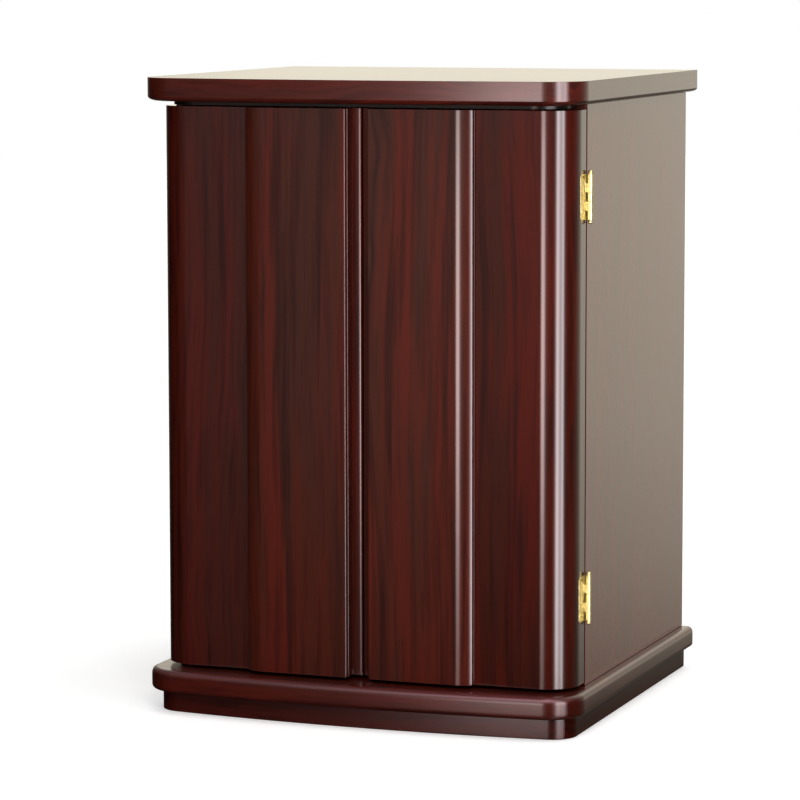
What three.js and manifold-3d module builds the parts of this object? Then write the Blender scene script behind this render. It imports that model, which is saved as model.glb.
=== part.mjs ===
// Household altar cabinet for a shelf or table: a rosewood-toned box on a plinth, with a
// bowed top board and base board and two doors that fold back flat on small brass hinges.
// Millimetres, +Z up, the doors face -Y. The origin is at the centre of the footprint,
// on the underside of the plinth.
import * as THREE from 'three';
import { mergeVertices } from 'three/addons/utils/BufferGeometryUtils.js';
import Module from 'manifold-3d';

const wasm = await Module();
wasm.setup();

// Carcass
const overallHeight = 540;
const bodyWidth = 367; // over the two side panels
const bodyDepth = 293.7; // side panels, front edge to back edge
const sideThickness = 18;
const backThickness = 6;
const backInset = 4; // back panel in from the rear edges
const frontBow = 12; // how far each board's front bulges between its corners
const fitGap = 0.3; // clearance round every fitted piece

// Top board: crisp upper edge, lower edge rounded under
const topThickness = 19.8;
const topSideOverhang = 10.3;
const topFrontOverhang = 21.2; // in front of the raised door faces, at the middle
const topCornerRadius = 34.8;
const topUnderWidth = 9.5; // how far in the rounding runs
const topUnderHeight = 4;

// Base board, rounded on both edges
const baseThickness = 18.7;
const baseSideOverhang = 10;
const baseFrontOverhang = 21.2;
const baseCornerRadius = 32;
const baseRounding = 5;

// Plinth under the base board
const plinthHeight = 18;
const plinthSideOverhang = 1.9;
const plinthFrontOverhang = 8.7;
const plinthCornerRadius = 22;

// Black header strip under the top board, in the slit over the doors
const headerThickness = 3;
const headerSideInset = 8.6; // in from the outer sides
const headerFrontInset = 6.5; // behind the raised door faces
const headerCornerRadius = 26;
const headerSeamGap = 0.5; // to the side panels

// Doors: each leaf wraps round its corner and has a raised field beside the pull channel
const doorTopGap = 4.2; // door to top board
const doorBottomGap = 2.9; // door to base board
const doorSeamGap = 2; // door to side panel
const meetingGap = 1.2; // between the doors
const doorDepth = 50.8; // side panels' front edges to raised faces
const raiseHeight = 8.2; // raised face in front of the outer field
const channelDepth = 14.3; // raised face in front of the channel floor
const channelWidth = 19.7; // between the raised fields
const raisedWidth = 75.7; // flat part of a raised field
const shoulderRadius = 26.5;
const shoulderStep = 3.9; // small step from the shoulder down to the outer field
const stepRun = 1.6;
const doorCornerRadius = 27.1;
const doorThickness = 20.6; // outer field
const returnThickness = 18; // side of the leaf, which closes on the side panel
const meetingRounding = 1.3;
const raisedRounding = 1;

// Butt hinges
const upperHingeDrop = 71.8; // middle of the upper hinge under the door's top
const lowerHingeRise = 71.4; // middle of the lower hinge over the door's bottom
const axisOutset = 3; // hinge axis outside the cabinet's side
const leafHeight = 38;
const leafWidth = 15.5;
const leafThickness = 1.1;
const leafCorner = 2.5;
const knuckleCount = 5;
const barrelRadius = 2.2;
const boreRadius = 1.5;
const pinRadius = 1.1;
const finialHeight = 3;
const finialRadius = 2.1;
const screwSpacing = 25.4;
const screwInset = 8.2; // screw row in from the leaf's hinge edge
const screwHeadRadius = 2.6;
const screwHeadDepth = 1.5;
const screwShankRadius = 1.1;
const screwLength = 9;
const screwSlotWidth = 0.7;
const screwSlotDepth = 0.5;
const screwSlotReach = 1.6;

// Fineness of the curves
const arcSteps = 10;
const smallArcSteps = 3;
const bevelSteps = 4;
const barrelSides = 12;
const screwSides = 10;
const past = 20; // how far a cutting solid runs past the piece that it cuts

// Places worked out from the sizes
const halfBody = bodyWidth / 2;
const overallDepth = bodyDepth + doorDepth + Math.max(topFrontOverhang, baseFrontOverhang);
const backY = overallDepth / 2;
const seamY = backY - bodyDepth; // front edges of the side panels
const raisedY = seamY - doorDepth;
const outerY = raisedY + raiseHeight;
const channelY = raisedY + channelDepth;
const doorBackY = outerY + doorThickness;
const returnBackY = seamY - doorSeamGap;
const baseBottom = plinthHeight + fitGap;
const baseTop = baseBottom + baseThickness;
const topBottom = overallHeight - topThickness;
const doorBottom = baseTop + doorBottomGap;
const doorTop = topBottom - doorTopGap;
const hingeAxisX = halfBody + axisOutset;
const hingeAxisY = seamY - doorSeamGap / 2;
const hingeHeights = { upper: doorTop - upperHingeDrop, lower: doorBottom + lowerHingeRise };

const rosewood = new THREE.MeshStandardMaterial({ color: 0x4a1f1a, roughness: 0.22, metalness: 0 });
const blackWood = new THREE.MeshStandardMaterial({ color: 0x17100d, roughness: 0.5, metalness: 0 });
const brass = new THREE.MeshStandardMaterial({ color: 0xd8b765, roughness: 0.28, metalness: 1 });

// Joining and cutting
function toSolid(geometry) {
  const bare = geometry.clone();
  bare.deleteAttribute('normal');
  bare.deleteAttribute('uv');
  const merged = mergeVertices(bare, 1e-4);
  const mesh = new wasm.Mesh({
    numProp: 3,
    vertProperties: new Float32Array(merged.attributes.position.array),
    triVerts: new Uint32Array(merged.index.array),
  });
  return new wasm.Manifold(mesh);
}

function toGeometry(solid) {
  const mesh = solid.getMesh();
  const geometry = new THREE.BufferGeometry();
  const positions = new Float32Array(mesh.vertProperties);
  geometry.setAttribute('position', new THREE.BufferAttribute(positions, 3));
  geometry.setIndex(new THREE.BufferAttribute(new Uint32Array(mesh.triVerts), 1));
  geometry.computeVertexNormals();
  return geometry;
}

function join(geometries) {
  const [first, ...others] = geometries.map(toSolid);
  return toGeometry(others.reduce((whole, solid) => whole.add(solid), first));
}

function cut(geometry, tools) {
  return toGeometry(tools.map(toSolid).reduce((whole, tool) => whole.subtract(tool), toSolid(geometry)));
}

function block(cornerA, cornerB) {
  const size = cornerA.map((value, axis) => Math.abs(cornerB[axis] - value));
  const middle = cornerA.map((value, axis) => (cornerB[axis] + value) / 2);
  return new THREE.BoxGeometry(...size).translate(...middle);
}

// Outlines in plan, angles in degrees
function point(x, y) {
  return new THREE.Vector2(x, y);
}

function arc(centreX, centreY, radius, from, to, steps) {
  return Array.from({ length: steps + 1 }, (_, i) => {
    const angle = THREE.MathUtils.degToRad(from + ((to - from) * i) / steps);
    return point(centreX + radius * Math.cos(angle), centreY + radius * Math.sin(angle));
  });
}

function extrude(points, bottom, top) {
  const geometry = new THREE.ExtrudeGeometry(new THREE.Shape(points), {
    depth: top - bottom,
    bevelEnabled: false,
  });
  return geometry.translate(0, 0, bottom);
}

// Plan of a board: straight sides, round front corners and one shallow arc between them
function boardOutline(halfWidth, frontY, cornerRadius, rearY) {
  const bowRadius = (halfWidth ** 2 + frontBow ** 2) / (2 * frontBow);
  const bowCentreY = frontY + bowRadius;
  const cornerX = halfWidth - cornerRadius;
  const cornerY = bowCentreY - Math.sqrt((bowRadius - cornerRadius) ** 2 - cornerX ** 2);
  const turn = THREE.MathUtils.radToDeg(Math.atan2(cornerY - bowCentreY, cornerX));
  const right = [
    point(halfWidth, rearY),
    ...arc(cornerX, cornerY, cornerRadius, 0, turn, arcSteps),
    ...arc(0, bowCentreY, bowRadius, turn, -90, arcSteps).slice(1),
  ].reverse();
  const left = right.slice(1).reverse().map((p) => point(-p.x, p.y));
  return [...left, ...right];
}

// Board with edges rounded by width and height, cut square at the back
function roundedBoard(outline, bottom, top, width, height, crispTop) {
  const reach = crispTop ? height : 0;
  const geometry = new THREE.ExtrudeGeometry(new THREE.Shape(outline), {
    depth: top + reach - bottom - 2 * height,
    bevelEnabled: true,
    bevelSize: width,
    bevelOffset: -width,
    bevelThickness: height,
    bevelSegments: bevelSteps,
  });
  geometry.translate(0, 0, bottom + height);
  const behind = block([-bodyWidth, backY, bottom - past], [bodyWidth, backY + 2 * past, top + past]);
  const above = block([-bodyWidth, -overallDepth, top], [bodyWidth, overallDepth, top + past]);
  return cut(geometry, crispTop ? [behind, above] : [behind]);
}

function topBoard() {
  const outline = boardOutline(
    halfBody + topSideOverhang,
    raisedY - topFrontOverhang,
    topCornerRadius,
    backY + past,
  );
  return roundedBoard(outline, topBottom, overallHeight, topUnderWidth, topUnderHeight, true);
}

function baseBoard() {
  const outline = boardOutline(
    halfBody + baseSideOverhang,
    raisedY - baseFrontOverhang,
    baseCornerRadius,
    backY + past,
  );
  return roundedBoard(outline, baseBottom, baseTop, baseRounding, baseRounding, false);
}

function plinth() {
  const outline = boardOutline(
    halfBody + plinthSideOverhang,
    raisedY - plinthFrontOverhang,
    plinthCornerRadius,
    backY,
  );
  return extrude(outline, 0, plinthHeight);
}

function headerStrip() {
  const halfWidth = halfBody - headerSideInset;
  const frontY = raisedY + headerFrontInset;
  const left = [
    point(-halfWidth, seamY - headerSeamGap),
    ...arc(-halfWidth + headerCornerRadius, frontY + headerCornerRadius, headerCornerRadius, 180, 270, arcSteps),
  ];
  const right = left.map((p) => point(-p.x, p.y)).reverse();
  const top = topBottom - fitGap;
  return extrude([...left, ...right], top - headerThickness, top);
}

function backPanel() {
  const halfWidth = halfBody - sideThickness - fitGap;
  const rear = backY - backInset;
  return block([-halfWidth, rear - backThickness, baseTop + fitGap], [halfWidth, rear, topBottom - fitGap]);
}

// Hinge leaf drawn flat: x runs in from the hinge edge, y up, z into the wood
function leafOutline(start, grow) {
  const half = leafHeight / 2 + grow;
  const corner = leafCorner + grow;
  const farX = leafWidth + grow - corner;
  return [
    point(start, -half),
    ...arc(farX, -half + corner, corner, -90, 0, smallArcSteps),
    ...arc(farX, half - corner, corner, 0, 90, smallArcSteps),
    point(start, half),
  ];
}

// A screw's turned shape: head face at height 0, shank downwards
function screwShape(shank, head, depth, lift) {
  const turned = [
    point(0, -depth),
    point(shank, -depth + shank),
    point(shank, -screwHeadDepth),
    point(head, 0),
    point(head, lift),
    point(0, lift),
  ];
  return new THREE.LatheGeometry(turned, screwSides);
}

function screw() {
  const slot = screwSlotWidth / 2;
  const body = new THREE.LatheGeometry([
    point(0, -screwLength),
    point(screwShankRadius, -screwLength + screwShankRadius),
    point(screwShankRadius, -screwHeadDepth),
    point(screwHeadRadius, 0),
    point(0, 0),
  ], screwSides);
  return cut(body, [
    block([-screwSlotReach, -screwSlotDepth, -slot], [screwSlotReach, past, slot]),
    block([-slot, -screwSlotDepth, -screwSlotReach], [slot, past, screwSlotReach]),
  ]);
}

function screwHole() {
  const shank = screwShankRadius + 1.2 * fitGap;
  const head = screwHeadRadius + 1.5 * fitGap;
  return screwShape(shank, head, screwLength + 2 * fitGap, past);
}

// Both screw places of a leaf drawn flat, head face outwards
function atScrewPlaces(geometry) {
  return [-screwSpacing / 2, screwSpacing / 2].map((height) => {
    return geometry.clone().rotateX(-Math.PI / 2).translate(screwInset, height, 0);
  });
}

// Lays a flat drawing on the door's side face or on the side panel's front edge
function layOn(face, side, geometry) {
  const along = face === 'door' ? new THREE.Vector3(0, -1, 0) : new THREE.Vector3(-side, 0, 0);
  const up = new THREE.Vector3(0, 0, side);
  const inward = new THREE.Vector3().crossVectors(along, up);
  const edgeY = face === 'door' ? returnBackY : seamY;
  const laid = geometry.clone().applyMatrix4(new THREE.Matrix4().makeBasis(along, up, inward));
  return laid.translate(side * halfBody, edgeY, 0);
}

// Mortise and screw holes for one leaf
function leafPocket(face, side) {
  const floor = leafThickness + fitGap;
  const mortise = extrude(leafOutline(-past, fitGap), -past, floor);
  return [mortise, ...atScrewPlaces(screwHole())].map((tool) => layOn(face, side, tool));
}

function withHingePockets(face, side, geometry) {
  const tools = Object.values(hingeHeights).flatMap((height) => {
    return leafPocket(face, side).map((tool) => tool.translate(0, 0, height));
  });
  return cut(geometry, tools);
}

// Cylinder on the hinge axis
function onHingeAxis(side, radius, low, high) {
  const cylinder = new THREE.CylinderGeometry(radius, radius, high - low, barrelSides);
  return cylinder.rotateX(Math.PI / 2).translate(side * hingeAxisX, hingeAxisY, (low + high) / 2);
}

// Leaf plate, its knuckles and the webs between them; the frame leaf has the end knuckles
function hingeLeaf(face, side) {
  const pitch = leafHeight / knuckleCount;
  const first = face === 'door' ? 1 : 0;
  const nearX = side * (halfBody - leafThickness);
  const webY = face === 'door'
    ? [returnBackY - leafThickness, hingeAxisY - barrelRadius / 2]
    : [hingeAxisY + barrelRadius / 2, seamY + leafThickness];
  const plate = cut(extrude(leafOutline(0, 0), 0, leafThickness), atScrewPlaces(screwHole()));
  const solids = [layOn(face, side, plate)];
  for (let index = first; index < knuckleCount; index += 2) {
    const low = -leafHeight / 2 + index * pitch + fitGap / 2;
    const high = low + pitch - fitGap;
    solids.push(onHingeAxis(side, barrelRadius, low, high));
    solids.push(block([nearX, webY[0], low], [side * hingeAxisX, webY[1], high]));
  }
  return cut(join(solids), [onHingeAxis(side, boreRadius, -leafHeight, leafHeight)]);
}

function hingePin(side) {
  const shoulder = leafHeight / 2 + fitGap / 2;
  const upperEnd = [
    point(pinRadius, shoulder),
    point(finialRadius, shoulder),
    point(finialRadius, shoulder + 0.35 * finialHeight),
    point(0.85 * finialRadius, shoulder + 0.65 * finialHeight),
    point(0.5 * finialRadius, shoulder + 0.9 * finialHeight),
    point(0, shoulder + finialHeight),
  ];
  const lowerEnd = upperEnd.map((p) => point(p.x, -p.y)).reverse();
  const pin = new THREE.LatheGeometry([...lowerEnd, ...upperEnd], screwSides);
  return pin.rotateX(Math.PI / 2).translate(side * hingeAxisX, hingeAxisY, 0);
}

// Plan of the right door, from the meeting edge round the corner to the hinge side
function doorOutline() {
  const meetX = meetingGap / 2;
  const channelX = channelWidth / 2;
  const raisedX = channelX + raisedWidth;
  const shoulderDrop = raiseHeight - shoulderStep;
  const shoulderTurn = THREE.MathUtils.radToDeg(Math.acos(1 - shoulderDrop / shoulderRadius));
  const shoulderCentreY = raisedY + shoulderRadius;
  const shoulder = arc(raisedX, shoulderCentreY, shoulderRadius, -90, -90 + shoulderTurn, arcSteps);
  const stepX = shoulder[arcSteps].x + stepRun;
  const cornerX = halfBody - doorCornerRadius;
  return [
    point(meetX, doorBackY),
    ...arc(meetX + meetingRounding, channelY + meetingRounding, meetingRounding, 180, 270, smallArcSteps),
    point(channelX, channelY),
    ...arc(channelX + raisedRounding, raisedY + raisedRounding, raisedRounding, 180, 270, smallArcSteps),
    ...shoulder,
    point(stepX, outerY),
    ...arc(cornerX, outerY + doorCornerRadius, doorCornerRadius, -90, 0, arcSteps),
    point(halfBody, returnBackY),
    point(halfBody - returnThickness, returnBackY),
    point(halfBody - returnThickness, doorBackY),
  ];
}

function door(side) {
  const right = doorOutline();
  const outline = side > 0 ? right : right.map((p) => point(-p.x, p.y)).reverse();
  return withHingePockets('door', side, extrude(outline, doorBottom, doorTop));
}

function sidePanel(side) {
  const panel = block(
    [side * halfBody, seamY, baseTop + fitGap],
    [side * (halfBody - sideThickness), backY, topBottom - fitGap],
  );
  return withHingePockets('frame', side, panel);
}

const group = new THREE.Group();
group.name = 'altar_cabinet';

function add(name, geometry, material) {
  const mesh = new THREE.Mesh(geometry, material);
  mesh.name = name;
  group.add(mesh);
}

add('plinth', plinth(), rosewood);
add('base_board', baseBoard(), rosewood);
add('back_panel', backPanel(), blackWood);
add('top_board', topBoard(), rosewood);
add('header_strip', headerStrip(), blackWood);

for (const [sideName, side] of [['left', -1], ['right', 1]]) {
  add(`side_panel_${sideName}`, sidePanel(side), rosewood);
  add(`door_${sideName}`, door(side), rosewood);
  const pin = hingePin(side);
  for (const [level, height] of Object.entries(hingeHeights)) {
    const tag = `${sideName}_${level}`;
    for (const face of ['door', 'frame']) {
      add(`hinge_${tag}_${face}_leaf`, hingeLeaf(face, side).translate(0, 0, height), brass);
      atScrewPlaces(screw()).forEach((oneScrew, i) => {
        const placed = layOn(face, side, oneScrew).translate(0, 0, height);
        add(`hinge_${tag}_${face}_screw_${i + 1}`, placed, brass);
      });
    }
    add(`hinge_${tag}_pin`, pin.clone().translate(0, 0, height), brass);
  }
}

export default group;
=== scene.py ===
# Household altar cabinet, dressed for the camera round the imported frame.
# Sizes are in millimetres, with the same axes as the frame, and become metres in new_piece and moved.
import math

import bmesh
import bpy
import numpy as np
from mathutils import Matrix, Vector


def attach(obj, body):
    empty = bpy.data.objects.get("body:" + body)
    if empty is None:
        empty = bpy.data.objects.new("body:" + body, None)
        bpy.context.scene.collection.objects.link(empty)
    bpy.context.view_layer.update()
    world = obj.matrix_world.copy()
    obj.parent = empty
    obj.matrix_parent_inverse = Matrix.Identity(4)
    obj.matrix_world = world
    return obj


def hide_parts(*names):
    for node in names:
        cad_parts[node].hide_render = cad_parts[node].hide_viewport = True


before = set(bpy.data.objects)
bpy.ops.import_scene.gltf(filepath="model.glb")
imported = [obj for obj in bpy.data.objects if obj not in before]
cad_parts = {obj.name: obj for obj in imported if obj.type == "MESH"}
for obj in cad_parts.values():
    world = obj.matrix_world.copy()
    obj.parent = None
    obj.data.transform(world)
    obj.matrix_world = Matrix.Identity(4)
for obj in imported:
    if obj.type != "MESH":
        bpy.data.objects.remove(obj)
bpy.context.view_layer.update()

MM_PER_METRE = 1000

# Points closer than this, in metres, are joined
WELD = 1e-7

# Sizes of the solids, as in the part's source, and the finer ones that only the dressing has.
# A board's over, under and edge are how far in and how high its rounding runs, and an arris is the
# small rounding of an edge.
HEIGHT = 540.0
BODY_WIDTH = 367.0
BODY_DEPTH = 293.7
SIDE = 18.0
SIDE_ARRIS = 0.15
BACK_PANEL = 6.0
BACK_INSET = 4.0
BACK_ARRIS = 0.3
BOW = 12.0
GAP = 0.3

TOP_THICK = 19.8
TOP_OUT = 10.3
TOP_FRONT = 21.2
TOP_CORNER = 34.8
TOP_OVER = (0.2, 0.2)
TOP_UNDER = (9.5, 4.0)

BASE_THICK = 18.7
BASE_OUT = 10.0
BASE_FRONT = 21.2
BASE_CORNER = 32.0
BASE_OVER = (5.0, 5.0)
BASE_UNDER = (3.8, 3.8)

PLINTH = 18.0
PLINTH_OUT = 1.9
PLINTH_FRONT = 8.7
PLINTH_CORNER = 22.0
PLINTH_EDGE = (0.4, 0.4)

# Degrees that the upright part of a board's edge leans back at its two borders
EDGE_CROWN = 0.5

HEADER = 3.0
HEADER_SIDE = 8.6
HEADER_FRONT = 6.5
HEADER_CORNER = 26.0
HEADER_SEAM = 0.5
HEADER_ARRIS = 0.3

DOOR_TOP_GAP = 4.2
DOOR_BOTTOM_GAP = 2.9
DOOR_SEAM = 2.0
DOOR_DEPTH = 50.8
DOOR_THICK = 20.6
DOOR_CORNER = 27.1
DOOR_ARRIS = 0.45
MEETING = 1.2
MEETING_ROUND = 1.3
MEETING_ROUND_END_DEGREES = 262
RETURN_THICK = 18.0
RETURN_ROUND = 1.4
RETURN_INNER_ROUND = 0.5

RAISE = 8.2
RAISED_WIDTH = 75.7
RAISED_ROUND = 1.0
SHOULDER = 26.5
SHOULDER_STEP = 3.9
GROOVE_WIDTH = 1.7
GROOVE_DEPTH = 0.9
GROOVE_ARRIS = 0.3
CHANNEL_WIDTH = 19.7
CHANNEL_DEPTH = 14.3
CHANNEL_ARRIS = 0.4
LEDGE_DOWN = 4.4
LEDGE_WIDTH = 0.5
LEDGE_ROUND = 0.35
LEDGE_FOOT = 0.5
FLOOR_CROWN_WIDTH = 7.0
FLOOR_CROWN = 0.2

HINGE_DROP = 71.8
HINGE_RISE = 71.4
AXIS_OUT = 3.0
LEAF_WIDTH = 15.5
LEAF_HEIGHT = 38.0
LEAF_THICK = 1.1
LEAF_CORNER = 2.5
LEAF_EASE = 0.2
KNUCKLES = 5
KNUCKLE_GAP = 0.14
KNUCKLE_EASE = 0.18
BARREL = 2.2
BORE = 1.5
WEB_INSET = 0.02
WEB_SHARE = 0.9
PIN = 1.2
MORTISE_FIT = 0.15
MORTISE_FLOOR_FIT = 0.1

FINIAL_HEIGHT = 3.0
FINIAL_RADIUS = 2.1
FINIAL_EASE = 0.2
FINIAL_DISC = 0.6
FINIAL_WAIST_IN = 0.45
FINIAL_WAIST_LOW = 0.8
FINIAL_WAIST_TOP = 0.95
BALL_RADIUS_SHARE = 0.97
BALL_HEIGHT_SHARE = 0.4
BALL_START_DEGREES = -38

SCREW_SPACING = 25.4
SCREW_IN = 8.2
SCREW_HEAD = 2.6
SCREW_DEPTH = 1.5
SCREW_SHANK = 1.1
SCREW_LENGTH = 9.0
SCREW_EASE = 0.12
SCREW_FIT = 0.22
HEAD_FIT = 1.2 * SCREW_FIT
CROSS_LENGTH = 3.2
CROSS_WIDTH = 0.7
CROSS_DEPTH = 0.55
CROSS_APART = 0.01

# How far a cutting tool stands proud of what it cuts
MORTISE_OVER = 10
SCREW_OVER = 2

# Degrees between two faces from which their shared edge is shaded sharp
SHARP = 35
BOARD_SHARP = 40
DOOR_SHARP = 28

# Sides of what is turned, and steps of the arcs
SCREW_SIDES = 28
BARREL_SIDES = 36
PIN_SIDES = 24
ARRIS_STEPS = 3
RETURN_STEPS = 6
BALL_STEPS = 7
SMALL_STEPS = 8
ROUNDING_STEPS = 10
SHOULDER_ARC_STEPS = 16
BOW_STEPS = 24
HEADER_STEPS = 24
BOARD_CORNER_STEPS = 32
DOOR_CORNER_STEPS = 36
EDGE_CROWN_STEPS = 8

# Places worked out from the sizes
HALF = BODY_WIDTH / 2
BACK_Y = (BODY_DEPTH + DOOR_DEPTH + max(TOP_FRONT, BASE_FRONT)) / 2
SEAM_Y = BACK_Y - BODY_DEPTH
RAISED_Y = SEAM_Y - DOOR_DEPTH
OUTER_Y = RAISED_Y + RAISE
CHANNEL_Y = RAISED_Y + CHANNEL_DEPTH
DOOR_BACK_Y = OUTER_Y + DOOR_THICK
RETURN_Y = SEAM_Y - DOOR_SEAM
BASE_LOW = PLINTH + GAP
BASE_TOP = BASE_LOW + BASE_THICK
TOP_LOW = HEIGHT - TOP_THICK
DOOR_LOW = BASE_TOP + DOOR_BOTTOM_GAP
DOOR_TOP = TOP_LOW - DOOR_TOP_GAP
AXIS_X = HALF + AXIS_OUT
AXIS_Y = SEAM_Y - DOOR_SEAM / 2
HINGE_LEVELS = {"upper": DOOR_TOP - HINGE_DROP, "lower": DOOR_LOW + HINGE_RISE}
SIDES = {"left": -1, "right": 1}

# Camera, at the photograph's angle
CAMERA_PLACE = Vector((1071.78, -2840.44 + SEAM_Y, 634.53)) / MM_PER_METRE
CAMERA_YAW, CAMERA_PITCH, CAMERA_ROLL = (math.radians(a) for a in (20.642, 6.3919, -0.1079))
CAMERA_FOCAL_PX = 3628.28
CAMERA_AXIS_PX = (380, 370)
FRAME_PX = 800


def add_camera():
    look = Vector((-math.sin(CAMERA_YAW) * math.cos(CAMERA_PITCH),
                   math.cos(CAMERA_YAW) * math.cos(CAMERA_PITCH), -math.sin(CAMERA_PITCH)))
    level = Vector((math.cos(CAMERA_YAW), math.sin(CAMERA_YAW), 0))
    up = level.cross(look)
    right = math.cos(CAMERA_ROLL) * level + math.sin(CAMERA_ROLL) * up
    up = right.cross(look)
    data = bpy.data.cameras.new("camera")
    data.sensor_width = 36
    data.lens = CAMERA_FOCAL_PX / FRAME_PX * data.sensor_width
    data.shift_x = (FRAME_PX / 2 - CAMERA_AXIS_PX[0]) / FRAME_PX
    data.shift_y = (CAMERA_AXIS_PX[1] - FRAME_PX / 2) / FRAME_PX
    data.clip_start = 0.05
    data.clip_end = 60
    camera = bpy.data.objects.new("camera", data)
    turn = Matrix((right, up, -look)).transposed()
    camera.matrix_world = Matrix.Translation(CAMERA_PLACE) @ turn.to_4x4()
    bpy.context.collection.objects.link(camera)
    bpy.context.scene.camera = camera


# Mesh helpers
def new_piece(name, points, faces, sharp=SHARP):
    mesh = bpy.data.meshes.new(name)
    mesh.from_pydata([tuple(v / MM_PER_METRE for v in p) for p in points], [], faces)
    mesh.validate()
    fix_normals(mesh, sharp)
    piece = bpy.data.objects.new(name, mesh)
    bpy.context.collection.objects.link(piece)
    return piece


def fix_normals(mesh, sharp):
    work = bmesh.new()
    work.from_mesh(mesh)
    bmesh.ops.remove_doubles(work, verts=work.verts, dist=WELD)
    bmesh.ops.recalc_face_normals(work, faces=work.faces)
    work.to_mesh(mesh)
    work.free()
    mesh.shade_smooth()
    mesh.set_sharp_from_angle(angle=math.radians(sharp))


def apply_modifiers(piece):
    """Gives the piece the mesh that its modifiers make, and returns that mesh."""
    graph = bpy.context.evaluated_depsgraph_get()
    mesh = bpy.data.meshes.new_from_object(piece.evaluated_get(graph))
    piece.modifiers.clear()
    piece.data = mesh
    return mesh


def carve(piece, tools, operation="DIFFERENCE", sharp=SHARP):
    """Cuts the tools from the piece, or joins them to it, and removes them."""
    for tool in tools:
        step = piece.modifiers.new("carve", "BOOLEAN")
        step.operation = operation
        step.solver = "EXACT"
        step.object = tool
    mesh = apply_modifiers(piece)
    for tool in tools:
        bpy.data.objects.remove(tool)
    fix_normals(mesh, sharp)
    return piece


def moved(piece, matrix):
    """Moves the mesh, given in millimetres, and keeps the object at the origin."""
    matrix = matrix.copy()
    matrix.translation /= MM_PER_METRE
    piece.data.transform(matrix)
    if matrix.determinant() < 0:
        piece.data.flip_normals()
    return piece


def arc(cx, cy, radius, start, end, steps):
    """Points of an arc between two angles, in degrees, both ends included."""
    angles = np.radians(np.linspace(start, end, steps + 1))
    return [(cx + radius * math.cos(a), cy + radius * math.sin(a)) for a in angles]


def mirrored(points):
    return [(-x, y) for x, y in points][::-1]


def grown(loop, by):
    """A closed loop, counter-clockwise, with every side moved outwards."""
    points = np.array(loop)
    along = np.roll(points, -1, 0) - points
    along /= np.linalg.norm(along, axis=1)[:, None]
    normal = np.stack([along[:, 1], -along[:, 0]], 1)
    before = np.roll(normal, 1, 0)
    both = normal + before
    return points + by * both * (2 / (both ** 2).sum(1))[:, None]


def upright(name, loop, levels, sharp=SHARP):
    """Solid over a closed plan loop; levels are pairs of height and growth."""
    points, faces, n = [], [], len(loop)
    for height, growth in levels:
        points += [(x, y, height) for x, y in grown(loop, growth)]
    for ring in range(len(levels) - 1):
        for i in range(n):
            j = (i + 1) % n
            faces.append((ring * n + i, ring * n + j, (ring + 1) * n + j, (ring + 1) * n + i))
    faces.append(tuple(range(n))[::-1])
    faces.append(tuple(range((len(levels) - 1) * n, len(levels) * n)))
    return new_piece(name, points, faces, sharp)


def eased(low, high, arris):
    """Levels of a solid whose lower and upper edges have an arris, a small rounding."""
    turns = np.radians(np.linspace(0, 90, ARRIS_STEPS + 1))
    foot = [(low + arris * (1 - math.sin(t)), -arris * (1 - math.cos(t))) for t in turns[::-1]]
    head = [(high - z + low, growth) for z, growth in foot[::-1]]
    return foot + head


def slab(name, low, high, arris):
    """Block between two corners, with an arris on every edge."""
    centres = [(low[0] + arris, low[1] + arris), (high[0] - arris, low[1] + arris),
               (high[0] - arris, high[1] - arris), (low[0] + arris, high[1] - arris)]
    corners = []
    for (cx, cy), start in zip(centres, (180, 270, 0, 90)):
        corners += arc(cx, cy, arris, start, start + 90, ARRIS_STEPS)
    return upright(name, corners, eased(low[2], high[2], arris))


def block(name, low, high):
    points = [(x, y, z) for x in (low[0], high[0]) for y in (low[1], high[1]) for z in (low[2], high[2])]
    faces = [(0, 1, 3, 2), (4, 6, 7, 5), (0, 4, 5, 1), (2, 3, 7, 6), (0, 2, 6, 4), (1, 5, 7, 3)]
    return new_piece(name, points, faces)


def turned(name, profile, sides=SCREW_SIDES):
    """Solid turned on Z; profile is pairs of radius and height that start and end on the axis."""
    points, faces = [], []
    rings = []
    for radius, height in profile:
        if radius == 0:
            rings.append([len(points)] * sides)
            points.append((0, 0, height))
        else:
            rings.append(list(range(len(points), len(points) + sides)))
            points += [(*p, height) for p in arc(0, 0, radius, 0, 360, sides)[:-1]]
    for low, high in zip(rings, rings[1:]):
        for i in range(sides):
            j = (i + 1) % sides
            face = list(dict.fromkeys((low[i], low[j], high[j], high[i])))
            if len(face) > 2:
                faces.append(face)
    return new_piece(name, points, faces)


# Top board, base board and plinth
def board_path(half_width, front_y, corner, rear_y):
    """Outline from the rear right corner round the front to the rear left one, with normals."""
    bow_radius = (half_width ** 2 + BOW ** 2) / (2 * BOW)
    bow_y = front_y + bow_radius
    corner_x = half_width - corner
    corner_y = bow_y - math.sqrt((bow_radius - corner) ** 2 - corner_x ** 2)
    turn = math.degrees(math.atan2(corner_y - bow_y, corner_x))
    right = [((half_width, rear_y), (1.0, 0.0))]
    for centre, radius, start, end, steps in (
        ((corner_x, corner_y), corner, 0, turn, BOARD_CORNER_STEPS),
        ((0, bow_y), bow_radius, turn, -90, BOW_STEPS),
    ):
        for a in np.radians(np.linspace(start, end, steps + 1))[0 if start == 0 else 1:]:
            normal = (math.cos(a), math.sin(a))
            right.append(((centre[0] + radius * normal[0], centre[1] + radius * normal[1]), normal))
    left = [((-p[0], p[1]), (-n[0], n[1])) for p, n in right[-2::-1]]
    return right + left


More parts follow.
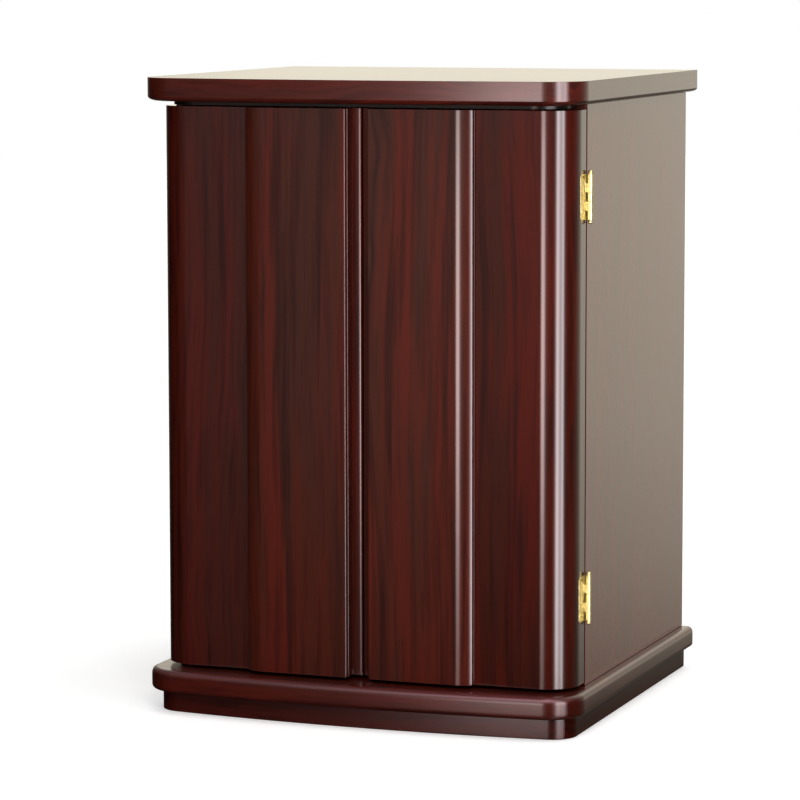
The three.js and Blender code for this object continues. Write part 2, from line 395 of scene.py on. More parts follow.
def board(name, half_width, front_y, corner, profile):
    """Board with a shaped edge; profile is pairs of inset and height, from below upwards."""
    path = board_path(half_width, front_y, corner, BACK_Y)
    points, faces, n = [], [], len(path)
    for inset, height in profile:
        points += [(p[0] - inset * m[0], p[1] - inset * m[1], height) for p, m in path]
    for ring in range(len(profile) - 1):
        for i in range(n - 1):
            a = ring * n + i
            faces.append((a, a + 1, a + n + 1, a + n))
    last = (len(profile) - 1) * n
    faces.append(tuple(range(n)))
    faces.append(tuple(range(last, last + n)))
    rights = [ring * n for ring in range(len(profile))]
    lefts = [ring * n + n - 1 for ring in range(len(profile))]
    faces.append(tuple(rights + lefts[::-1]))
    return new_piece(name, points, faces, BOARD_SHARP)


def quarter_turn(width, height):
    """Rounding from (width, 0) to (0, height), as inset and rise."""
    steps = ROUNDING_STEPS if width > 1 else ARRIS_STEPS
    turns = np.linspace(0, math.pi / 2, steps + 1)
    return [(width * (1 - math.sin(t)), height * (1 - math.cos(t))) for t in turns]


def edge_profile(low, high, under, over, crown=0.0):
    """Rounded foot and head, and between them an upright part with a slight crown, in degrees."""
    start, end = low + under[1], high - over[1]
    middle, half = (start + end) / 2, (end - start) / 2
    sag = half / 2 * math.tan(math.radians(crown))
    places = np.linspace(-1, 1, EDGE_CROWN_STEPS + 1)[1:-1] if crown else []
    foot = [(inset + sag, low + rise) for inset, rise in quarter_turn(*under)]
    flat = [(sag * t * t, middle + half * t) for t in places]
    head = [(inset + sag, high - rise) for inset, rise in quarter_turn(*over)]
    return foot + flat + head[::-1]


# Hinge parts, drawn flat: X runs in from the hinge edge, Y up, Z into the wood
def leaf_loop(start, grow):
    half = LEAF_HEIGHT / 2 + grow
    corner = LEAF_CORNER + grow
    far = LEAF_WIDTH + grow - corner
    return [(start, -half), *arc(far, -half + corner, corner, -90, 0, SMALL_STEPS),
            *arc(far, half - corner, corner, 0, 90, SMALL_STEPS), (start, half)]


def lay_on(face, side, height):
    """Turns what is drawn flat onto the door's rear edge or the frame's front edge."""
    along = Vector((0, -1, 0)) if face == "door" else Vector((-side, 0, 0))
    up = Vector((0, 0, side))
    edge_y = RETURN_Y if face == "door" else SEAM_Y
    turn = Matrix((along, up, along.cross(up))).transposed().to_4x4()
    return Matrix.Translation((side * HALF, edge_y, height)) @ turn


def mortises(face, side):
    """Tools that cut the beds of the two leaves on one edge."""
    tools = []
    for height in HINGE_LEVELS.values():
        tool = upright("mortise", leaf_loop(-MORTISE_OVER, MORTISE_FIT),
                       [(-MORTISE_OVER, 0), (LEAF_THICK + MORTISE_FLOOR_FIT, 0)])
        tools.append(moved(tool, lay_on(face, side, height)))
    return tools


def screw_places():
    """Head face outwards, at a flat-drawn leaf's two screws."""
    flip = Matrix.Rotation(math.pi, 4, "X")
    return [Matrix.Translation((SCREW_IN, y, 0)) @ flip for y in (-SCREW_SPACING / 2, SCREW_SPACING / 2)]


def screw_hole():
    """Countersunk hole, with room round the screw."""
    shank = SCREW_SHANK + SCREW_FIT
    head = SCREW_HEAD + HEAD_FIT
    return turned("hole", [(0, -SCREW_LENGTH), (shank, -SCREW_LENGTH), (shank, -SCREW_DEPTH),
                           (head, 0), (head, SCREW_OVER), (0, SCREW_OVER)])


def hinge_leaf(name, face, side):
    """Leaf at height 0 with its share of the knuckles, which take turns from leaf to leaf."""
    plate = upright(name, leaf_loop(0, 0), [(0, -LEAF_EASE), (LEAF_EASE, 0), (LEAF_THICK, 0)])
    carve(plate, [moved(screw_hole(), place) for place in screw_places()])
    moved(plate, lay_on(face, side, 0))
    to_axis = Matrix.Translation((side * AXIS_X, AXIS_Y, 0))
    web_x = sorted((side * (HALF - LEAF_THICK * WEB_SHARE), side * AXIS_X))
    web_y = ((RETURN_Y - LEAF_THICK, AXIS_Y - BARREL / 2) if face == "door"
             else (AXIS_Y + BARREL / 2, SEAM_Y + LEAF_THICK))
    pitch = LEAF_HEIGHT / KNUCKLES
    parts = []
    for index in range(1 if face == "door" else 0, KNUCKLES, 2):
        low = -LEAF_HEIGHT / 2 + index * pitch + KNUCKLE_GAP / 2
        high = low + pitch - KNUCKLE_GAP
        ring = [(0, low), (BARREL - KNUCKLE_EASE, low), (BARREL, low + KNUCKLE_EASE),
                (BARREL, high - KNUCKLE_EASE), (BARREL - KNUCKLE_EASE, high), (0, high)]
        parts.append(moved(turned("knuckle", ring, BARREL_SIDES), to_axis))
        parts.append(block("web", (web_x[0], web_y[0] + WEB_INSET, low + WEB_INSET),
                           (web_x[1], web_y[1] - WEB_INSET, high - WEB_INSET)))
    carve(plate, parts, "UNION")
    bore = turned("bore", [(0, -LEAF_HEIGHT), (BORE, -LEAF_HEIGHT), (BORE, LEAF_HEIGHT), (0, LEAF_HEIGHT)],
                  BARREL_SIDES)
    return carve(plate, [moved(bore, to_axis)])


def screw(name):
    """Countersunk screw with a cross in its head."""
    head = turned(name, [(0, -SCREW_LENGTH), (SCREW_SHANK, -SCREW_LENGTH + SCREW_SHANK),
                         (SCREW_SHANK, -SCREW_DEPTH), (SCREW_HEAD, -SCREW_EASE),
                         (SCREW_HEAD - SCREW_EASE, 0), (0, SCREW_EASE)])
    long, wide = CROSS_LENGTH / 2, CROSS_WIDTH / 2
    slots = [block("slot", (-long, -wide, -CROSS_DEPTH), (long, wide, SCREW_OVER)),
             block("slot", (-wide, -long, -CROSS_DEPTH - CROSS_APART),
                   (wide, long, SCREW_OVER + CROSS_APART))]
    return carve(head, slots)


def hinge_pin(name):
    """Pin with a disc, a waist and a ball at both its ends."""
    shoulder = LEAF_HEIGHT / 2 + KNUCKLE_GAP
    waist = FINIAL_RADIUS - FINIAL_WAIST_IN
    ball_radius = FINIAL_RADIUS * BALL_RADIUS_SHARE
    ball_height = BALL_HEIGHT_SHARE * FINIAL_HEIGHT
    ball_z = shoulder + (1 - BALL_HEIGHT_SHARE) * FINIAL_HEIGHT
    end = [(PIN, shoulder), (FINIAL_RADIUS - FINIAL_EASE, shoulder),
           (FINIAL_RADIUS, shoulder + FINIAL_EASE), (FINIAL_RADIUS, shoulder + FINIAL_DISC),
           (waist, shoulder + FINIAL_WAIST_LOW), (waist, shoulder + FINIAL_WAIST_TOP)]
    end += [(ball_radius * math.cos(t), ball_z + ball_height * math.sin(t))
            for t in np.radians(np.linspace(BALL_START_DEGREES, 90, BALL_STEPS + 1))[:-1]]
    end.append((0, shoulder + FINIAL_HEIGHT))
    return turned(name, [(r, -z) for r, z in end[::-1]] + end, PIN_SIDES)


# Doors, side panels and header
def door_loop():
    """Plan of the right door, from the meeting edge round the corner to the hinge side."""
    meet_x = MEETING / 2
    floor_end_y = CHANNEL_Y + FLOOR_CROWN
    channel_x = CHANNEL_WIDTH / 2
    ledge_x = channel_x - LEDGE_WIDTH
    ledge_y = RAISED_Y + LEDGE_DOWN
    raised_x = channel_x + RAISED_WIDTH
    turn = math.degrees(math.acos(1 - (RAISE - SHOULDER_STEP) / SHOULDER))
    shoulder = arc(raised_x, RAISED_Y + SHOULDER, SHOULDER, -90, -90 + turn, SHOULDER_ARC_STEPS)
    step_x = shoulder[-1][0]
    groove_y = OUTER_Y + GROOVE_DEPTH
    corner_x = HALF - DOOR_CORNER
    inner_x = HALF - RETURN_THICK
    return [
        (meet_x, DOOR_BACK_Y),
        *arc(meet_x + MEETING_ROUND, floor_end_y + MEETING_ROUND, MEETING_ROUND,
             180, MEETING_ROUND_END_DEGREES, ROUNDING_STEPS),
        *[(meet_x + FLOOR_CROWN_WIDTH * t, CHANNEL_Y + FLOOR_CROWN * (1 - t) ** 2)
          for t in (0.3, 0.45, 0.6, 0.8, 1.0)],
        (ledge_x - CHANNEL_ARRIS, CHANNEL_Y), (ledge_x, CHANNEL_Y - CHANNEL_ARRIS),
        (ledge_x, ledge_y + LEDGE_FOOT),
        *arc(ledge_x + LEDGE_ROUND, ledge_y + LEDGE_ROUND, LEDGE_ROUND, 180, 270, ARRIS_STEPS)[:-1],
        (channel_x, ledge_y),
        *arc(channel_x + RAISED_ROUND, RAISED_Y + RAISED_ROUND, RAISED_ROUND, 180, 270, SMALL_STEPS),
        *shoulder,
        (step_x, groove_y - GROOVE_ARRIS), (step_x + GROOVE_ARRIS, groove_y),
        (step_x + GROOVE_WIDTH, OUTER_Y),
        *arc(corner_x, OUTER_Y + DOOR_CORNER, DOOR_CORNER, -90, 0, DOOR_CORNER_STEPS),
        *arc(HALF - RETURN_ROUND, RETURN_Y - RETURN_ROUND, RETURN_ROUND, 0, 90, RETURN_STEPS),
        *arc(inner_x + RETURN_INNER_ROUND, RETURN_Y - RETURN_INNER_ROUND, RETURN_INNER_ROUND,
             90, 180, ARRIS_STEPS),
        (inner_x, DOOR_BACK_Y),
    ]


def door(name, side):
    loop = door_loop()
    levels = eased(DOOR_LOW, DOOR_TOP, DOOR_ARRIS)
    piece = upright(name, loop if side > 0 else mirrored(loop), levels, DOOR_SHARP)
    return carve(piece, mortises("door", side), sharp=DOOR_SHARP)


def side_panel(name, side):
    xs = sorted((side * HALF, side * (HALF - SIDE)))
    piece = slab(name, (xs[0], SEAM_Y, BASE_TOP + GAP), (xs[1], BACK_Y, TOP_LOW - GAP), SIDE_ARRIS)
    return carve(piece, mortises("frame", side))


def back_panel(name):
    half = HALF - SIDE - GAP
    rear = BACK_Y - BACK_INSET
    return slab(name, (-half, rear - BACK_PANEL, BASE_TOP + GAP), (half, rear, TOP_LOW - GAP), BACK_ARRIS)


def header_strip(name):
    half = HALF - HEADER_SIDE
    front = RAISED_Y + HEADER_FRONT
    corner = arc(-half + HEADER_CORNER, front + HEADER_CORNER, HEADER_CORNER, 180, 270, HEADER_STEPS)
    left = [(-half, SEAM_Y - HEADER_SEAM), *corner]
    top = TOP_LOW - GAP
    return upright(name, left + mirrored(left), eased(top - HEADER, top, HEADER_ARRIS))


# Node helpers
def node(tree, kind, **settings):
    made = tree.nodes.new(kind)
    for key, value in settings.items():
        if key in made.inputs.keys():
            made.inputs[key].default_value = value
        else:
            setattr(made, key, value)
    return made


def put(tree, socket, value):
    """Links another node's output to the socket, or sets the socket to a number or colour."""
    if isinstance(value, bpy.types.NodeSocket):
        tree.links.new(value, socket)
    else:
        socket.default_value = (*value, 1) if socket.type == "RGBA" else value


def new_material(name):
    material = bpy.data.materials.new(name)
    material.use_nodes = True
    material.node_tree.nodes.clear()
    tree = material.node_tree
    shader = tree.nodes.new("ShaderNodeBsdfPrincipled")
    output = tree.nodes.new("ShaderNodeOutputMaterial")
    tree.links.new(shader.outputs[0], output.inputs[0])
    return material, tree, shader


def noise(tree, stretch, detail, roughness=0.55, place=None):
    """Noise over object space or another place, with its scale along each axis in features per metre."""
    if place is None:
        place = node(tree, "ShaderNodeTexCoord").outputs["Object"]
    mapping = node(tree, "ShaderNodeMapping", Scale=stretch)
    texture = node(tree, "ShaderNodeTexNoise", Scale=1.0, Detail=detail, Roughness=roughness)
    tree.links.new(place, mapping.inputs["Vector"])
    tree.links.new(mapping.outputs["Vector"], texture.inputs["Vector"])
    return texture.outputs["Fac"]


def bump(tree, height, strength, distance):
    made = node(tree, "ShaderNodeBump", Strength=strength, Distance=distance)
    tree.links.new(height, made.inputs["Height"])
    return made.outputs[0]


def ramp(tree, value, stops, smooth=True):
    made = node(tree, "ShaderNodeValToRGB")
    made.color_ramp.interpolation = "EASE" if smooth else "LINEAR"
    elements = made.color_ramp.elements
    while len(elements) < len(stops):
        elements.new(0.5)
    for element, (position, colour) in zip(elements, stops):
        element.position = position
        element.color = (*colour, 1)
    tree.links.new(value, made.inputs["Fac"])
    return made.outputs["Color"]


def mix(tree, factor, first, second, blend="MIX"):
    made = node(tree, "ShaderNodeMix", data_type="RGBA", blend_type=blend)
    for socket, value in ((made.inputs[0], factor), (made.inputs[6], first), (made.inputs[7], second)):
        put(tree, socket, value)
    return made.outputs[2]


def math_node(tree, operation, *values):
    made = node(tree, "ShaderNodeMath", operation=operation)
    for socket, value in zip(made.inputs, values):
        put(tree, socket, value)
    return made.outputs[0]


def set_shader(tree, shader, sockets):
    for name, value in sockets.items():
        put(tree, shader.inputs[name], value)


def grey(level):
    return (level, level, level)


# Materials, with colours in linear light
WOOD_BROWN = (0.0660, 0.0132, 0.0078)
WOOD_RED = (0.1130, 0.0107, 0.0053)
WOOD_BLUSH = (0.1380, 0.0108, 0.0050)
WOOD_VEIN = (0.0280, 0.0046, 0.0028)
WOOD_FIBRE = (0.0300, 0.0040, 0.0024)
WOOD_PORE = (0.0160, 0.0025, 0.0018)
LACQUER_DARK = (0.0060, 0.0036, 0.0026)
LACQUER_BROWN = (0.0110, 0.0062, 0.0042)
BRASS_DEEP = (0.71, 0.63, 0.31)
BRASS_PALE = (0.78, 0.70, 0.36)
FLOOR_CREAM = (0.955, 0.955, 0.95)
FLOOR_WHITE = (0.98, 0.98, 0.98)
WOOD_IOR = 1.5
GLOSS = 0.08
BOARD_FIGURE = 0.8
SIDE_FIGURE = 0.3


def rosewood(name, along, gloss, tone, shift, figure=1.0, sheen=0.04, coat=1.0):
    """Red-brown wood under clear gloss. Along is the axis that the grain follows, gloss the roughness
    of the clear coat and tone what the colours are multiplied by. Shift picks another board, figure is
    how strongly its veins show, sheen the gloss of the wood itself and coat the share of the coat."""
    material, tree, shader = new_material(name)
    grain_axis = "XYZ".index(along)
    across_axis = 0 if along == "Z" else 2

    def sum_of(source, step):
        made = node(tree, "ShaderNodeVectorMath", operation="ADD")
        put(tree, made.inputs[0], source)
        put(tree, made.inputs[1], step)
        return made.outputs[0]

    def streaks(source, sideways, lengthwise, detail, roughness=0.5):
        """Noise with so many features per metre across the grain and along it."""
        stretch = [sideways] * 3
        stretch[grain_axis] = lengthwise
        return noise(tree, stretch, detail, roughness, source)

    def pushed(source, wave, reach):
        """Places moved across the grain by a wave, by half of the reach, in metres, either way."""
        amount = node(tree, "ShaderNodeCombineXYZ")
        put(tree, amount.inputs[across_axis], math_node(tree, "MULTIPLY_ADD", wave, reach, -reach / 2))
        return sum_of(source, amount.outputs[0])

    def toned(colour):
        return tuple(t * c for t, c in zip(tone, colour))

    # The figure bends: slow waves along the grain push it sideways, and here and there it curls
    place = sum_of(node(tree, "ShaderNodeTexCoord").outputs["Object"], shift)
    curl = streaks(place, 34, 15, 1.0)
    here = ramp(tree, streaks(place, 9, 4.5, 0.0), [(0.56, grey(0.0)), (0.72, grey(1.0))])
    bent = pushed(place, streaks(place, 6, 3.0, 1.0), 0.026)
    bent = pushed(bent, mix(tree, here, grey(0.5), curl), 0.016)
    flames = streaks(bent, 42, 1.9, 2.5)
    blush = streaks(bent, 70, 5.0, 2.0)
    veins = streaks(bent, 140, 4.4, 2.0, 0.55)
    threads = streaks(bent, 300, 11.0, 1.5)
    fibres = streaks(place, 900, 14, 3.0)
    pores = streaks(place, 1700, 60, 1.0)

    # Brown and red ground, with a layer for each kind of streak: its colour, and its strength by value
    ground = ramp(tree, flames, [(0.36, grey(0.5 - 0.5 * figure)), (0.62, grey(0.5 + 0.5 * figure))])
    colour = mix(tree, ground, toned(WOOD_BROWN), toned(WOOD_RED))
    for streak, tint, stops in (
        (blush, WOOD_BLUSH, [(0.48, 0.0), (0.66, 0.45)]),
        (veins, WOOD_VEIN, [(0.31, 0.80), (0.40, 0.42), (0.48, 0.0)]),
        (threads, WOOD_FIBRE, [(0.36, 0.36), (0.50, 0.0)]),
        (fibres, WOOD_FIBRE, [(0.40, 0.08), (0.62, 0.0)]),
        (pores, WOOD_PORE, [(0.30, 0.20), (0.37, 0.0)]),
    ):
        strength = ramp(tree, streak, [(at, grey(figure * share)) for at, share in stops])
        colour = mix(tree, strength, colour, toned(tint))

    set_shader(tree, shader, {
        "Base Color": colour,
        "Roughness": math_node(tree, "MULTIPLY_ADD", fibres, 0.12, 0.40),
        "Normal": bump(tree, fibres, 0.15, 0.00006),
        "Coat Normal": bump(tree, noise(tree, (22, 22, 22), 2.0), 0.08, 0.0006),
        "Specular IOR Level": sheen,
        "IOR": WOOD_IOR,
        "Coat Weight": coat,
        "Coat Roughness": gloss,
        "Coat IOR": WOOD_IOR,
    })
    return material


def board_woods(name, tone, shift, front, side):
    """Wood with its grain along X for a board's front, and along Y for its sides; front and side
    are each the roughness of the gloss, the wood's own gloss and the share of the clear coat."""
    return [rosewood(f"rosewood_{name}_{way}", axis, gloss, grey(tone), shift, BOARD_FIGURE, sheen, coat)
            for way, axis, (gloss, sheen, coat) in (("front", "X", front), ("side", "Y", side))]


# Black lacquer with a brown fibre. The header strip is a real part, but its black stands partly for
# painted shade under the top board's overhang
def black_lacquer(name):
    material, tree, shader = new_material(name)
    fibres = noise(tree, (9, 500, 500), 3.0)
    cloud = noise(tree, (18, 18, 18), 3.0)
    set_shader(tree, shader, {
        "Base Color": ramp(tree, fibres, [(0.3, LACQUER_DARK), (0.7, LACQUER_BROWN)]),
        "Roughness": math_node(tree, "MULTIPLY_ADD", cloud, 0.12, 0.22),
        "Normal": bump(tree, fibres, 0.1, 0.0001),
        "Specular IOR Level": 0.25,
    })
    return material


def brass(name):
    material, tree, shader = new_material(name)
    cloud = noise(tree, (220, 220, 220), 4.0)
    lines = noise(tree, (2600, 2600, 180), 2.0)
    set_shader(tree, shader, {
        "Base Color": ramp(tree, cloud, [(0.35, BRASS_DEEP), (0.65, BRASS_PALE)]),
        "Roughness": math_node(tree, "MULTIPLY_ADD", cloud, 0.12, 0.31),
        "Normal": bump(tree, lines, 0.06, 0.00003),
        "Metallic": 1.0,
    })
    return material


def pale_floor(name):
    material, tree, shader = new_material(name)
    cloud = noise(tree, (3, 3, 3), 2.0)
    set_shader(tree, shader, {
        "Base Color": ramp(tree, cloud, [(0.3, FLOOR_CREAM), (0.7, FLOOR_WHITE)]),
        "Roughness": 0.9,
        "Specular IOR Level": 0.0,
        "Emission Color": grey(1.0),
        "Emission Strength": 0.4,
    })
    return material


# Dressing: a raised face lies this far before the step and isn't level, which is told by its normal's
# height squared, and a side face by how far its normal points sideways
STEP_MARGIN = 0.6
LEVEL_FACE = 0.5
SIDE_FACE = 0.75

# How much large faces count for the shading, of 100, where 50 is evenly
FLAT_WEIGHT = 80


def keep_flats_flat(piece):
    """Weights the shading normals by area, so that a rounded edge leaves the flat beside it flat."""
    step = piece.modifiers.new("weighted", "WEIGHTED_NORMAL")
    step.mode = "FACE_AREA"
    step.weight = FLAT_WEIGHT
    step.keep_sharp = True
    apply_modifiers(piece)


def lay_raised_field_wood(leaf):
    """Gives the raised field, up to the step, the door's second material, in a tone of its own."""
    for face in leaf.data.polygons:
        raised = face.center.y * MM_PER_METRE < OUTER_Y - STEP_MARGIN
        face.material_index = int(raised and face.normal.z ** 2 < LEVEL_FACE)


def turn_side_grain(piece):
    """Gives a board's two sides the wood whose grain runs from front to back."""
    for face in piece.data.polygons:
        face.material_index = int(abs(face.normal.x) > SIDE_FACE)


def dress(piece, node_name, body, slot, *materials):
    keep_flats_flat(piece)
    piece.data.materials.clear()
    for material in materials:
        piece.data.materials.append(material)
    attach(piece, body)
    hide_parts(node_name)


add_camera()
# Painted light: the side panels' wood is toned lighter than the doors', for the stronger light that falls
# on the sides
wood_side = rosewood("rosewood_side_panels", "Z", GLOSS, (1.45, 1.35, 1.10), (2.30, 0.0, 0.0), SIDE_FIGURE)
wood_top = board_woods("top_board", 0.90, (0.0, 0.2, 0.4),
                       front=(0.18, 0.04, 1.0), side=(GLOSS, 0.06, 1.0))
wood_base = board_woods("base_board", 0.78, (0.4, 0.5, 0.8),
                        front=(0.20, 0.04, 0.95), side=(GLOSS, 0.0, 0.80))
# Painted shade: the plinth is toned darkest, for the shade under the base board's overhang, and its sides
# take a small share of clear coat, which darkens what they mirror as painted shade near the floor
wood_plinth = board_woods("plinth", 0.56, (0.9, 0.1, 1.3),
                          front=(0.22, 0.04, 0.77), side=(GLOSS, 0.0, 0.36))
# The doors' four fields are one rosewood in four tones: the left door's fields are darker in red than the
# right door's, and the raised fields are lighter than the outer ones
wood_doors = {
    "left": (rosewood("rosewood_left_outer_field", "Z", GLOSS, (0.70, 0.85, 0.90), (0.30, 0.0, 0.10)),
             rosewood("rosewood_left_raised_field", "Z", GLOSS, (0.92, 1.15, 1.10), (0.70, 0.0, 0.35))),
    "right": (rosewood("rosewood_right_outer_field", "Z", GLOSS, (0.78, 0.60, 0.35), (1.10, 0.0, 0.60)),
              rosewood("rosewood_right_raised_field", "Z", GLOSS, (0.96, 1.32, 1.30), (1.70, 0.0, 0.20))),
}
black = black_lacquer("black_lacquer")
metal = brass("polished_brass")

for name, side_out, front_out, corner, profile, woods in (
    ("top_board", TOP_OUT, TOP_FRONT, TOP_CORNER,
     edge_profile(TOP_LOW, HEIGHT, TOP_UNDER, TOP_OVER), wood_top),
    ("base_board", BASE_OUT, BASE_FRONT, BASE_CORNER,
     edge_profile(BASE_LOW, BASE_TOP, BASE_UNDER, BASE_OVER, EDGE_CROWN), wood_base),
    ("plinth", PLINTH_OUT, PLINTH_FRONT, PLINTH_CORNER,
     edge_profile(0, PLINTH, PLINTH_EDGE, PLINTH_EDGE, EDGE_CROWN), wood_plinth),
):
    piece = board(f"{name}_dressed", HALF + side_out, RAISED_Y - front_out, corner, profile)
    dress(piece, name, "cabinet", "rosewood_gloss", *woods)
    turn_side_grain(piece)
# The header strip's black stands partly for painted shade under the top board's overhang
dress(header_strip("header_strip_dressed"), "header_strip", "cabinet", "black_lacquer", black)
dress(back_panel("back_panel_dressed"), "back_panel", "cabinet", "black_lacquer", black)

screw_pattern = screw("screw_pattern")
for side_name, side in SIDES.items():
    door_body = f"door_{side_name}_body"
    leaf = door(f"door_{side_name}_dressed", side)
    dress(leaf, f"door_{side_name}", door_body, "rosewood_gloss", *wood_doors[side_name])
    lay_raised_field_wood(leaf)
    panel = side_panel(f"side_panel_{side_name}_dressed", side)
    dress(panel, f"side_panel_{side_name}", "cabinet", "rosewood_gloss", wood_side)
    for level, height in HINGE_LEVELS.items():
        tag = f"hinge_{side_name}_{level}"
        lift = Matrix.Translation((0, 0, height))
        pin = moved(hinge_pin(f"{tag}_pin_dressed"), Matrix.Translation((side * AXIS_X, AXIS_Y, height)))
        dress(pin, f"{tag}_pin", "cabinet", "brass", metal)
        for face, body in (("door", door_body), ("frame", "cabinet")):
            plate = moved(hinge_leaf(f"{tag}_{face}_leaf_dressed", face, side), lift)
            dress(plate, f"{tag}_{face}_leaf", body, "brass", metal)
            for number, place in enumerate(screw_places(), 1):
                screw_name = f"{tag}_{face}_screw_{number}"
                one = bpy.data.objects.new(f"{screw_name}_dressed", screw_pattern.data.copy())
                bpy.context.collection.objects.link(one)
                moved(one, lay_on(face, side, height) @ place)
                dress(one, screw_name, body, "brass", metal)
bpy.data.objects.remove(screw_pattern)


# Floor and light
FLOOR_DROP = 0.4
FLOOR_RADIUS = 9000
FLOOR_SIDES = 64

SOFT_LAMP = Vector((260, -840, 540)) / MM_PER_METRE
SOFT_LAMP_AIM = Vector((40, -155, 470)) / MM_PER_METRE
SOFT_LAMP_SIZE = 0.35
SOFT_LAMP_WATTS = 2.8

# The studio as the gloss mirrors it. Each light is its brightness by azimuth, in degrees from the
# front towards the right, then its share by elevation, in degrees, and its tint
SOFTBOX_FRONT = (
    [(-180, 0), (-30, 0), (-17, 0.15), (-14.5, 0.9), (-12.5, 2.3), (-11, 5.6), (-9.3, 10.4), (-7.5, 11.7),
     (-1, 11.2), (1.5, 5.9), (4, 2.4), (8, 0.7), (14, 0.25), (24, 0.1), (34, 0), (180, 0)],
    [(-90, 0.01), (-14, 0.03), (-12.4, 0.055), (-11.9, 0.12), (-11, 0.24), (-10, 0.37), (-9.2, 0.52),
     (-8.2, 0.82), (-6.7, 1.08), (-4.5, 1.06), (-2.9, 0.95), (-2.3, 0.57), (-1.5, 0.43), (2, 0.44),
     (6, 0.40), (11, 0.36), (17, 0.28), (24, 0.08), (34, 0), (90, 0)],
    (1.0, 0.80, 0.78))
SOFTBOX_RIGHT = (
    [(-180, 0), (30, 0), (35, 0.8), (38.5, 2.6), (42, 9.0), (46.5, 15.5), (52, 11.0), (57, 8.0),
     (62, 10.0), (66, 13.0), (69.5, 6.0), (73, 1.4), (78, 0.2), (86, 0), (180, 0)],
    [(-90, 0.05), (-30, 0.08), (-13, 0.10), (-12.1, 0.22), (-11.7, 0.64), (-11.0, 1), (4, 1), (12, 0.9),
     (22, 0.7), (34, 0.4), (50, 0.1), (70, 0), (90, 0)],
    (1.0, 0.91, 0.94))
OVERHEAD = (
    [(-180, 0.3), (-90, 0.6), (-60, 0.6), (-36, 0.9), (-27, 2.1), (-20, 4.0), (-12, 5.0), (30, 4.2),
     (60, 2.0), (110, 0.6), (180, 0.3)],
    [(-90, 0), (6, 0), (16, 0.16), (30, 0.5), (45, 0.85), (55, 1.1), (90, 1.1)],
    (1.0, 0.78, 0.91))
WALL_BACK = (
    [(-180, 1.6), (-157, 1.6), (-151, 0.7), (-142, 0.4), (-132, 0.15), (-120, 0.05), (-110, 0), (74, 0),
     (90, 0.08), (112, 0.14), (125, 0.36), (132, 0.56), (139, 0.76), (146, 0.96), (153, 1.16), (160, 1.34),
     (168, 1.6), (180, 1.6)],
    [(-90, 0.03), (-30, 0.07), (-14, 0.10), (-12.5, 0.12), (-11.9, 0.14), (-11.6, 0.17), (-11.2, 0.25),
     (-9.3, 0.48), (-7, 0.66), (-4, 0.78), (-2, 0.83), (1, 0.82), (3, 0.75), (25, 0.73), (60, 0.6),
     (90, 0.5)],
    (1.0, 0.95, 0.78))
HAZE_FRONT = (
    [(-180, 0), (-60, 0.0), (-42, 0.14), (-25, 0.26), (-19, 0.38), (-15, 0.46), (-11, 0.34), (-6, 0.28),
     (10, 0.30), (30, 0.20), (45, 0), (180, 0)],
    [(-90, 0.05), (-30, 0.06), (-14, 0.02), (-12.1, 0.025), (-11.3, 0.06), (-10.8, 0.085), (-9.4, 0.13),
     (-8.5, 0.165), (-7.5, 0.24), (-5.6, 0.36), (-3, 0.50), (-2.5, 0.60), (-2, 1.08), (0, 1.1), (5, 0.9),
     (90, 0.5)],
    (1.0, 0.96, 0.94))
MIRRORED_LIGHTS = (SOFTBOX_FRONT, SOFTBOX_RIGHT, OVERHEAD, WALL_BACK, HAZE_FRONT)
MIRRORED_PEAK = 16.0

# The soft light on the matt surfaces: from the right, from above and back from the floor
SOFT_SIDE = (
    [(-180, 0.30), (-140, 0.16), (-90, 0.06), (-50, 0.06), (-20, 0.10), (10, 0.18), (50, 0.44),
     (90, 0.76), (120, 0.80), (150, 0.66), (180, 0.30)],
    [(-90, 0.3), (-20, 0.6), (0, 0.9), (40, 1), (90, 0.8)],
    (1.0, 0.99, 0.97))
SOFT_ABOVE = (
    [(-180, 1), (180, 1)],
    [(-90, 0), (30, 0), (50, 0.5), (90, 1.6)],
    (1.0, 1.0, 1.0))
SOFT_BELOW = (
    [(-180, 1), (180, 1)],
    [(-90, 0.85), (-50, 0.52), (-25, 0.27), (-8, 0.13), (0, 0), (90, 0)],
    (1.0, 1.0, 1.0))
SOFT_LIGHTS = (SOFT_SIDE, SOFT_ABOVE, SOFT_BELOW)
SOFT_PEAK = 2.2
SHARE_PEAK = 1.1


def add_floor():
    edge = arc(0, 0, FLOOR_RADIUS, 0, 360, FLOOR_SIDES)[:-1]
    floor = new_piece("floor", [(x, y, -FLOOR_DROP) for x, y in edge], [tuple(range(FLOOR_SIDES))])
    floor.data.materials.append(pale_floor("pale_floor"))
    floor.visible_glossy = False
    floor.visible_diffuse = False


def add_soft_lamp():
    """Large soft lamp before the doors, which lights the matt wood and isn't mirrored in the gloss."""
    data = bpy.data.lights.new("soft_lamp", "AREA")
    data.size = SOFT_LAMP_SIZE
    data.energy = SOFT_LAMP_WATTS
    lamp = bpy.data.objects.new("soft_lamp", data)
    turn = (SOFT_LAMP_AIM - SOFT_LAMP).to_track_quat("-Z", "Y").to_matrix().to_4x4()
    lamp.matrix_world = Matrix.Translation(SOFT_LAMP) @ turn
    lamp.visible_glossy = False
    bpy.context.collection.objects.link(lamp)


def curve_ramp(tree, value, low, high, stops, peak):
    """Levels over the peak, at a value between low and high."""
    scaled = [((at - low) / (high - low), grey(level / peak)) for at, level in stops]
    share = math_node(tree, "DIVIDE", math_node(tree, "SUBTRACT", value, low), high - low)
    return ramp(tree, share, scaled, smooth=False)


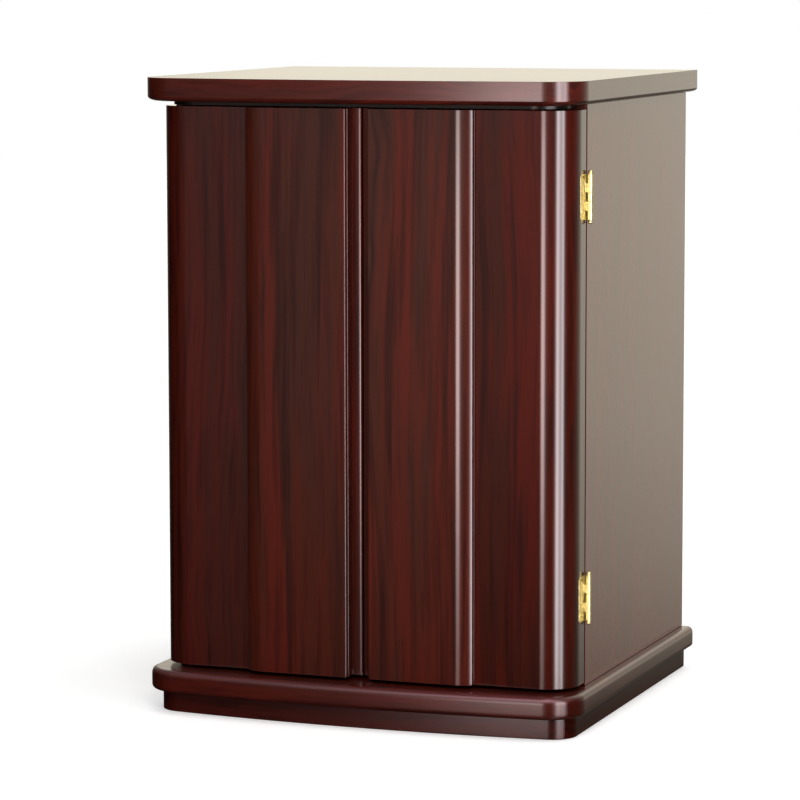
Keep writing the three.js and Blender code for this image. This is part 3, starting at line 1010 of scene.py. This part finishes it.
def by_direction(tree, azimuth, elevation, sources, peak):
    """Sum of the sources, each a level by azimuth times a share by elevation and a tint."""
    total = None
    for around, rise, tint in sources:
        level = curve_ramp(tree, azimuth, -180, 180, around, peak)
        share = curve_ramp(tree, elevation, -90, 90, rise, SHARE_PEAK)
        part = mix(tree, 1.0, mix(tree, 1.0, level, share, "MULTIPLY"), tint, "MULTIPLY")
        total = part if total is None else mix(tree, 1.0, total, part, "ADD")
    background = node(tree, "ShaderNodeBackground", Strength=peak * SHARE_PEAK)
    tree.links.new(total, background.inputs["Color"])
    return background


def by_ray(tree, picked, shader, others):
    """Shows one shader to the rays that are picked, and another to all others."""
    made = node(tree, "ShaderNodeMixShader")
    for socket, source in zip(made.inputs, (picked, others.outputs[0], shader.outputs[0])):
        tree.links.new(source, socket)
    return made


def add_surroundings():
    """World that glossy rays see as a studio, matt surfaces as soft light and the camera as white."""
    world = bpy.data.worlds.new("studio")
    world.use_nodes = True
    tree = world.node_tree
    tree.nodes.clear()
    axes = node(tree, "ShaderNodeSeparateXYZ")
    tree.links.new(node(tree, "ShaderNodeTexCoord").outputs["Generated"], axes.inputs[0])
    x, y, z = axes.outputs
    front = math_node(tree, "MULTIPLY", y, -1.0)
    azimuth = math_node(tree, "DEGREES", math_node(tree, "ARCTAN2", x, front))
    elevation = math_node(tree, "DEGREES", math_node(tree, "ARCSINE", z))
    mirrored_studio = by_direction(tree, azimuth, elevation, MIRRORED_LIGHTS, MIRRORED_PEAK)
    soft = by_direction(tree, azimuth, elevation, SOFT_LIGHTS, SOFT_PEAK)
    white = node(tree, "ShaderNodeBackground", Color=(1, 1, 1, 1), Strength=1.0)
    path = node(tree, "ShaderNodeLightPath")
    lit = by_ray(tree, path.outputs["Is Glossy Ray"], mirrored_studio, soft)
    shown = by_ray(tree, path.outputs["Is Camera Ray"], white, lit)
    output = node(tree, "ShaderNodeOutputWorld")
    tree.links.new(shown.outputs[0], output.inputs[0])
    bpy.context.scene.world = world


add_floor()
add_soft_lamp()
add_surroundings()
scene = bpy.context.scene
scene.view_settings.view_transform = "Standard"
scene.view_settings.look = "None"
